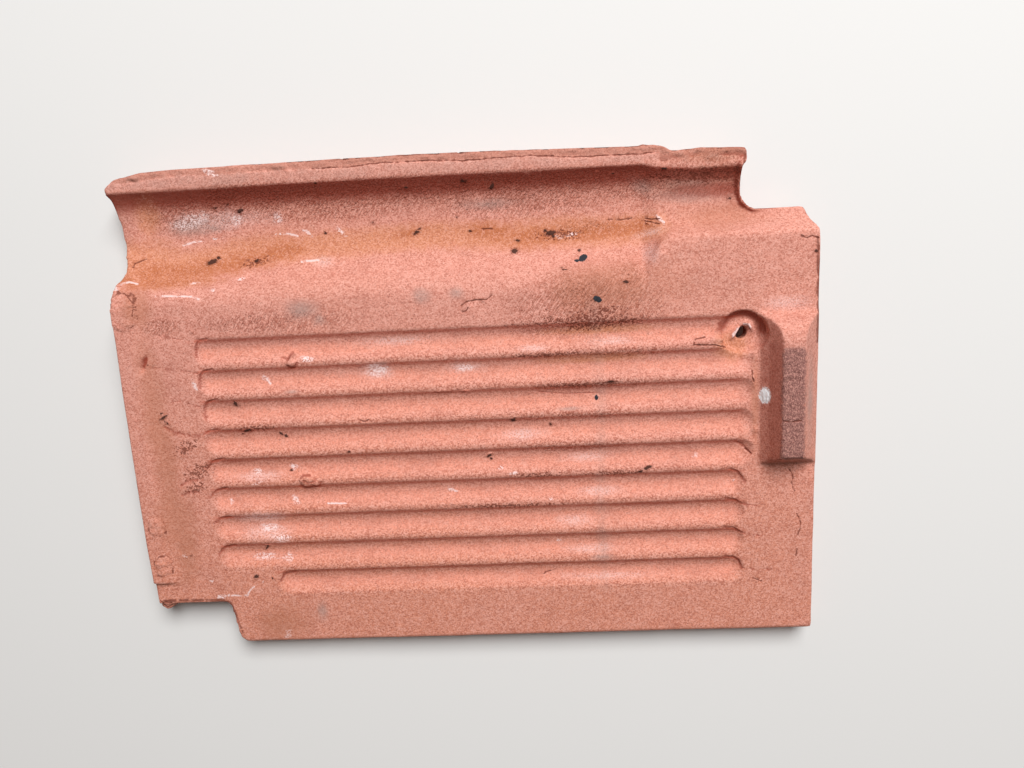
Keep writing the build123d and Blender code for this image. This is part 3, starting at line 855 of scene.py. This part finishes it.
heel = smooth(-0.4, 0.6, box(places, 317.3, 325.5, 92, 152)) * smooth(0.95, 0.8, normals[:, 2])
bruise = smooth(0, 0.5, oval(seen, 12.2, 154.4, 9.5, 2.8, 66))
creases = smooth(-0.1, 0.5, hooks)
flute_shade = smooth(-0.2, 0.8, ovals(seen, FLUTE_SHADE))
# Painted shade: the trough wall, the head's wall and floor, the recess's upper wall, the burr's inner
# side, the nib's heel, the bruise, the creases, the dark strips under some flutes and the upper side of
# each flute lie in shade, and the material paints them a deep red.
shades = (
    (flute_edge_shade, 0.22), (flute_shade, 0.4), (trough_wall, 1), (head_wall, 1), (head_floor, 0.75),
    (recess_wall, 0.7), (cut_wall, 1), (heel, 0.36), (bruise, 1), (creases, 0.6),
)
shaded = np.max([field * share for field, share in shades], axis=0)
# Painted shade: deep in the nail hole the walls get the dirt's dark brown, so the hole reads dark.
dirt_and_hole_shade = np.maximum(dirt_and_hole_shade, np.where(z < -5.2, 1 - from_nail / 3.3, -1))
print("walls in shade cover", round(float((shaded > 0.3).mean()) * 100, 1), "% of the corners")

# %% Attributes
RUST_WIDTH = 11
WASH_WIDTH = 15
SPECKLED_WIDTH = 17
SOOT_WIDTH = 24
CHALK_LINE_WIDTH = 1.3
DARK_RIM_WIDTH = 2.2
TURNED_AWAY = -0.3

rust = np.maximum(bands(seen, RUST_ROUTES, RUST_WIDTH), ovals(seen, RUST))
wash = np.maximum(bands(seen, WASH_ROUTES, WASH_WIDTH), ovals(seen, WASH))
speckle = np.maximum(bands(seen, SPECKLED_ROUTES, SPECKLED_WIDTH), ovals(seen, SPECKLED))
lip_top = 0.42 * smooth(-8.6, -8.1, z) * smooth(238, 240, y)
soot = np.max([ovals(seen, SOOT), bands(seen, SOOT_ROUTES, SOOT_WIDTH) - 0.55, lip_top], axis=0)
torn_tip = smooth(0, 0.4, oval(places, 6, 23.5, 13, 8, 10))
stains = {
    "shaded": shaded,
    "flutes": in_flutes,
    "flute_floor": flute_floor,
    "dull": ovals(seen, DULL),
    "wash": wash,
    "rust": rust,
    "soot": soot,
    "chalk": ovals(seen, CHALK),
    "chalk_lines": bands(seen, CHALK_LINES, CHALK_LINE_WIDTH),
    "haze": ovals(seen, HAZE),
    "dark_rims": bands(seen, DARK_RIMS, DARK_RIM_WIDTH),
    "torn": np.maximum(torn_lip(places), torn_tip),
    "nib_top": nib_top,
    "speckle": np.maximum(speckle, -0.3),
    "soiled_and_shaded": ovals(seen, SOILED_AND_SHADED),
    "cracks": cracks,
    "dirt_and_hole_shade": dirt_and_hole_shade,
    "lichen": lichen,
    "dropping": dropping,
    "weather_face": smooth(0, -0.4, normals[:, 2]),
}
for name, field in stains.items():
    if name != "weather_face":
        field = np.where(normals[:, 2] < TURNED_AWAY, max(field.min(), -1), field)
    attribute = tile.data.attributes.new(name, "FLOAT", "POINT")
    attribute.data.foreach_set("value", np.clip(field, -1, 1).astype(np.float32))
    print(name, "covers", round(float((field > 0.1).mean()) * 100, 1), "% of the corners")

# %% [markdown]
# ## Nodes in few words
# A material is a graph of nodes, and writing each by hand hides the idea behind the plumbing.
# These helpers say what a maker would: noise of some size, a soft threshold, one colour laid over
# another. Sizes are in millimetres, and Object coordinates are in metres, so a size becomes a
# scale by dividing.

# %% Node helpers
clay = bpy.data.materials.new("fired_clay")
clay.use_nodes = True
tree = clay.node_tree
shader = tree.nodes["Principled BSDF"]


def node(kind, sockets=None, **settings):
    """Adds a node, with its settings, and with its sockets linked or given a value."""
    made = tree.nodes.new(kind)
    for name, value in settings.items():
        setattr(made, name, value)
    for socket, value in (sockets or {}).items():
        if isinstance(value, bpy.types.NodeSocket):
            tree.links.new(value, made.inputs[socket])
        else:
            made.inputs[socket].default_value = value
    return made


def math_node(operation, *values):
    return node("ShaderNodeMath", dict(enumerate(values)), operation=operation).outputs[0]


def grain(size, detail=2.0, roughness=0.5, where=None):
    """Noise from 0 to 1 with features of that size in millimetres."""
    sockets = {"Vector": where or place, "Scale": 1 / (size * MM)}
    sockets |= {"Detail": detail, "Roughness": roughness}
    return node("ShaderNodeTexNoise", sockets).outputs["Fac"]


def between(value, low, high):
    """A soft step: 0 at low, 1 at high."""
    sockets = {"Value": value, "From Min": low, "From Max": high}
    return node("ShaderNodeMapRange", sockets, interpolation_type="SMOOTHSTEP").outputs["Result"]


def solid(colour):
    """A colour with its alpha. A socket stays as it is."""
    return colour if isinstance(colour, bpy.types.NodeSocket) else (*colour, 1)


def layer(under, over, share):
    """Lays one colour over another, by a share."""
    sockets = {0: share, 6: solid(under), 7: solid(over)}
    return node("ShaderNodeMix", sockets, data_type="RGBA").outputs[2]


def grit(size):
    """A random number from 0 to 1 for each sand grain of that size in millimetres."""
    cells = node("ShaderNodeTexVoronoi", {"Vector": place, "Scale": 1 / (size * MM)})
    return node("ShaderNodeSeparateColor", {0: cells.outputs["Color"]}).outputs["Red"]


def stain(name):
    return node("ShaderNodeAttribute", attribute_name=name).outputs["Fac"]


def ragged(name, noise_value, spread, low, high):
    """A stain's mask, its border broken up by noise."""
    wobble = math_node("MULTIPLY_ADD", noise_value, spread, -spread / 2)
    return between(math_node("ADD", stain(name), wobble), low, high)


def times(first, *others):
    """Product of values and sockets."""
    for other in others:
        first = math_node("MULTIPLY", first, other)
    return first


def turned(angle, *stretch):
    """The place, turned about the upright and stretched, so that noise turns into strokes."""
    sockets = {"Vector": place, "Rotation": (0, 0, math.radians(angle)), "Scale": stretch}
    return node("ShaderNodeMapping", sockets, vector_type="TEXTURE").outputs[0]


place = node("ShaderNodeTexCoord").outputs["Object"]
print("helpers ready for", clay.name)

# %% [markdown]
# ## Fired clay
# Fired clay is never one red. Iron in it burns pinkish where the kiln's air reached it and orange
# where it didn't, sand grains speckle it, and the mould leaves a dusty skin. So the body colour
# is two clays mixed by broad noise, then darkened and lightened by noise of finer sizes. Noise
# alone is too soft for sand, so a Voronoi texture gives each grain a tone of its own. Dashes along
# the tile are where the press dragged its sand, and slanting ones are the weave of the cloth that
# lined the mould.

# %% Noises
broad = grain(70, 2)
cloud = grain(16, 3, 0.55)
blotch = grain(4.2, 3, 0.6)
sand = grain(0.75, 3, 0.65)
fine_sand = grain(0.5, 2, 0.6)
dash = grain(0.65, 2, 0.6, turned(0, 1.8, 1, 1))
weave = grain(0.85, 1, 0.5, turned(56, 5, 0.9, 1))
streak = grain(2.4, 3, 0.6, turned(0, 4.5, 1, 1))
coarse_grit, fine_grit = grit(1.0), grit(0.6)
print("noise nodes", len(tree.nodes))

# %% Body colour
PINK_CLAY = (0.70, 0.30, 0.232)
ORANGE_CLAY = (0.66, 0.25, 0.16)
FLUTE_HIGHLIGHT_CLAY = (0.82, 0.31, 0.215)
DEEP_CLAY = (0.33, 0.085, 0.05)
PALE_CLAY = (0.84, 0.44, 0.36)
across_tile = node("ShaderNodeSeparateXYZ", {0: place}).outputs["Y"]
pinker = math_node("MULTIPLY_ADD", between(across_tile, -0.11, 0.06), 0.75, 0.1)
pinker = math_node("MULTIPLY_ADD", math_node("SUBTRACT", broad, 0.5), 1.2, pinker)
colour = layer(ORANGE_CLAY, PINK_CLAY, pinker)
# A painted highlight: the lower side of each flute, which faces the lamp, is made lighter.
colour = layer(colour, FLUTE_HIGHLIGHT_CLAY, times(stain("flute_floor"), 0.8))
colour = layer(colour, DEEP_CLAY, times(between(cloud, 0.46, 0.72), 0.2))
colour = layer(colour, PALE_CLAY, times(between(blotch, 0.5, 0.74), 0.3))
print("colour nodes", len(tree.nodes))

# %% Sand and weave
in_weave = between(stain("speckle"), -0.25, 0.5)
sandy = math_node("MULTIPLY_ADD", stain("flute_floor"), -0.18, 0.48)
woven_sand = times(in_weave, 0.3)
for grains, strength in ((coarse_grit, 0.16), (fine_grit, sandy), (fine_grit, woven_sand)):
    colour = layer(colour, DEEP_CLAY, times(between(grains, 0.6, 0.85), strength))
    colour = layer(colour, PALE_CLAY, times(between(grains, 0.4, 0.15), strength))
for noise_value, strength in ((sand, 0.15), (fine_sand, 0.2), (dash, 0.13)):
    colour = layer(colour, DEEP_CLAY, times(between(noise_value, 0.51, 0.66), strength))
    colour = layer(colour, PALE_CLAY, times(between(noise_value, 0.47, 0.34), strength))
colour = layer(colour, DEEP_CLAY, times(between(streak, 0.55, 0.7), 0.18))
woven = between(weave, 0.48, 0.62)
colour = layer(colour, DEEP_CLAY, times(woven, in_weave, 0.42))
pale_grains = between(grain(0.7, 1, 0.5, turned(30, 1.4, 1, 1)), 0.68, 0.73)
colour = layer(colour, PALE_CLAY, times(pale_grains, 0.6))
print("colour nodes", len(tree.nodes))

# %% [markdown]
# ## Stains
# First comes painted shade: a deep red on the walls that face away from the lamp, and a painted
# shadow line under each flute's edge. Then the stains go on in the order in which they came: rust
# washed down the roll, soot, chalk that rain drew out of the clay, and last the crumbs and growths
# on top. The painted shadow line repeats, so no attribute holds it. A Mapping node brings Object
# coordinates back to level millimetres, and Modulo on their y counts off the flutes.

# %% Painted shade on the walls, and dull borders
# Painted shade: the walls turned away from the lamp get a deep, saturated red.
PAINTED_SHADE_RED = (0.25, 0.028, 0.010)
DULL_CLAY = (0.42, 0.155, 0.085)
wall_shade = ragged("shaded", blotch, 0.5, 0.0, 0.95)
colour = layer(colour, DULL_CLAY, times(ragged("dull", cloud, 1.0, -0.1, 0.8), 0.5))
colour = layer(colour, PAINTED_SHADE_RED, times(wall_shade, 0.8))
unshaded = math_node("SUBTRACT", 1, times(wall_shade, 0.7))
print("colour nodes", len(tree.nodes))

# %% Painted shadow along the flutes
FLUTE_SHADOW_RED = (0.50, 0.055, 0.015)
back = to_floor.inverted()
back_sockets = {"Scale": back.to_scale(), "Rotation": back.to_euler(), "Location": back.translation}
level = node("ShaderNodeMapping", {"Vector": place, **back_sockets})
level_y = node("ShaderNodeSeparateXYZ", {0: level.outputs[0]}).outputs["Y"]
wavy_y = math_node("MULTIPLY_ADD", math_node("SUBTRACT", blotch, 0.5), 1.6, level_y)
under_edge = math_node("MODULO", math_node("SUBTRACT", FLUTE_EDGE, wavy_y), FLUTE_PITCH)
# A painted shadow: a red-brown line just under each flute's upper edge, where its steep wall faces away
# from the lamp.
flute_shadow_line = times(between(under_edge, 0.1, 0.9), between(under_edge, 3.0, 1.2), stain("flutes"))
colour = layer(colour, FLUTE_SHADOW_RED, times(flute_shadow_line, 0.38))
between_flutes = between(under_edge, FLUTE_PITCH - 3.6, FLUTE_PITCH - 2.2)
dusty_flat = times(between_flutes, stain("flutes"), between(fine_grit, 0.55, 0.7))
colour = layer(colour, DEEP_CLAY, times(dusty_flat, 0.35))
print("colour nodes", len(tree.nodes))

# %% Wash and rust
WASH_TAN = (0.60, 0.235, 0.125)
RUST_BROWN = (0.44, 0.13, 0.045)
washed = ragged("wash", blotch, 0.9, -0.25, 0.7)
colour = layer(colour, WASH_TAN, times(washed, unshaded, 0.85))
rusty = times(ragged("rust", blotch, 1.6, -0.2, 0.9), between(cloud, 0.2, 0.45))
colour = layer(colour, RUST_BROWN, times(rusty, 0.7))
colour = layer(colour, DEEP_CLAY, times(washed, between(fine_grit, 0.6, 0.85), 0.34))
colour = layer(colour, PALE_CLAY, times(washed, between(fine_grit, 0.4, 0.15), 0.3))
print("colour nodes", len(tree.nodes))

# %% Haze, soot and torn clay
CHALK_WHITE = (0.90, 0.70, 0.68)
SOOT_GREY = (0.38, 0.27, 0.24)
TORN_CLAY = (0.42, 0.175, 0.125)
hazy = times(ragged("haze", cloud, 1.0, 0.0, 1.0), between(sand, 0.62, 0.45))
colour = layer(colour, CHALK_WHITE, times(hazy, 0.4))
dashed = math_node("MULTIPLY_ADD", dash, 1.2, 0.2)
sooty = times(unshaded, ragged("soot", cloud, 0.8, 0.0, 1.1), dashed)
colour = layer(colour, SOOT_GREY, times(sooty, 0.75))
torn_clay = ragged("torn", blotch, 0.7, 0.15, 0.8)
colour = layer(colour, TORN_CLAY, times(torn_clay, 0.55))
print("colour nodes", len(tree.nodes))

# %% Top of the nib, and chalk
NIB_PURPLE = (0.17, 0.07, 0.065)
rough_top = ragged("nib_top", sand, 0.3, 0.2, 0.8)
nib_grains = between(grain(0.42, 2, 0.6, turned(90, 1.8, 1, 1)), 0.44, 0.62)
purple = layer(NIB_PURPLE, PALE_CLAY, times(nib_grains, 0.5))
colour = layer(colour, purple, times(rough_top, 0.85))
chalky = times(ragged("chalk", streak, 1.6, 0.0, 0.7), between(fine_grit, 0.75, 0.3))
scratched = times(ragged("chalk_lines", sand, 1.6, 0.1, 0.5), between(blotch, 0.36, 0.5))
white = math_node("MAXIMUM", chalky, times(scratched, 0.82))
colour = layer(colour, CHALK_WHITE, times(white, 0.9))
print("colour nodes", len(tree.nodes))

# %% Crumbs and growths
SPECK_AND_SHADE_BROWN = (0.15, 0.030, 0.015)
DIRT_AND_HOLE_SHADE_BROWN = (0.05, 0.017, 0.011)
LICHEN_BLACK = (0.028, 0.03, 0.038)
LIME_WHITE = (0.93, 0.97, 1.0)
WEATHER_PINK = (0.50, 0.265, 0.22)
patchy = math_node("MULTIPLY", stain("speckle"), between(cloud, 0.35, 0.6))
denser = math_node("MULTIPLY_ADD", patchy, 0.11, grain(0.7, 2, 0.55, turned(0, 1.3, 1, 1)))
colour = layer(colour, SPECK_AND_SHADE_BROWN, times(between(denser, 0.62, 0.70), 0.55))
# Dark specks of dirt, and on the head's wall, painted shade.
soiled_and_shaded = ragged("soiled_and_shaded", grit(0.7), 1.8, 0.25, 0.9)
colour = layer(colour, SPECK_AND_SHADE_BROWN, times(soiled_and_shaded, 0.8))
# Dark rims: painted shade along the notch's rounded edge, and a torn strip at the head's edge.
edged = ragged("dark_rims", blotch, 2.2, 0.0, 0.8)
colour = layer(colour, SPECK_AND_SHADE_BROWN, times(edged, 0.75))
cracked = ragged("cracks", fine_sand, 0.6, -0.05, 0.5)
colour = layer(colour, SPECK_AND_SHADE_BROWN, times(cracked, 0.75))
colour = layer(colour, SPECK_AND_SHADE_BROWN, times(ragged("dirt_and_hole_shade", sand, 1.2, -0.7, 0.1), 0.4))
# The darkest brown is dirt on the crumbs, and painted shade on the nail hole's walls.
colour = layer(colour, DIRT_AND_HOLE_SHADE_BROWN, times(ragged("dirt_and_hole_shade", sand, 1.6, 0.0, 0.3), 0.93))
colour = layer(colour, LICHEN_BLACK, ragged("lichen", sand, 0.6, 0.0, 0.2))
colour = layer(colour, LIME_WHITE, ragged("dropping", sand, 1.1, -0.1, 0.3))
weathered = between(stain("weather_face"), 0.2, 0.8)
colour = layer(colour, WEATHER_PINK, times(weathered, 0.6))
tree.links.new(colour, shader.inputs["Base Color"])
print("colour nodes", len(tree.nodes))

# %% [markdown]
# ## Grain under the fingers
# Sand finer than the mesh is left to a Bump node. It tilts the light without moving anything, so
# it suits grain that has no outline. Its height is written in millimetres, like everything else.

# %% Grain
HEIGHTS = ((sand, 0.14), (fine_sand, 0.11), (dash, 0.10), (blotch, 0.16), (streak, 0.06))
NIB_HEIGHT = 0.35
WEAVE_HEIGHT = 0.18
CLAY_ROUGHNESS = 0.88
CLAY_SHEEN = 0.3
relief = times(woven, in_weave, WEAVE_HEIGHT)
for noise_value, amount in HEIGHTS:
    relief = math_node("MULTIPLY_ADD", noise_value, amount, relief)
rough_height = times(math_node("MAXIMUM", rough_top, torn_clay), NIB_HEIGHT)
relief = math_node("ADD", relief, times(sand, rough_height))
bump = node("ShaderNodeBump", {"Strength": 1.0, "Distance": MM, "Height": relief})
tree.links.new(bump.outputs["Normal"], shader.inputs["Normal"])
shader.inputs["Roughness"].default_value = CLAY_ROUGHNESS
shader.inputs["Specular IOR Level"].default_value = CLAY_SHEEN
print("nodes in the clay", len(tree.nodes))

# %% [markdown]
# ## Laying the tile down
# The mesh is turned, shrunk to metres and moved in one step, so its object stays at the origin,
# as the CAD node's does. It rides on the part's one body and stands in for the CAD node.

# %% Laying down
tile.data.transform(to_floor)
tile.data.materials.clear()
tile.data.materials.append(clay)
tile.data.polygons.foreach_set("use_smooth", [True] * len(tile.data.polygons))
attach(tile, "root")
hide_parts("clay_tile")
print("lowest point in metres", round(min(vert.co.z for vert in tile.data.vertices), 6))
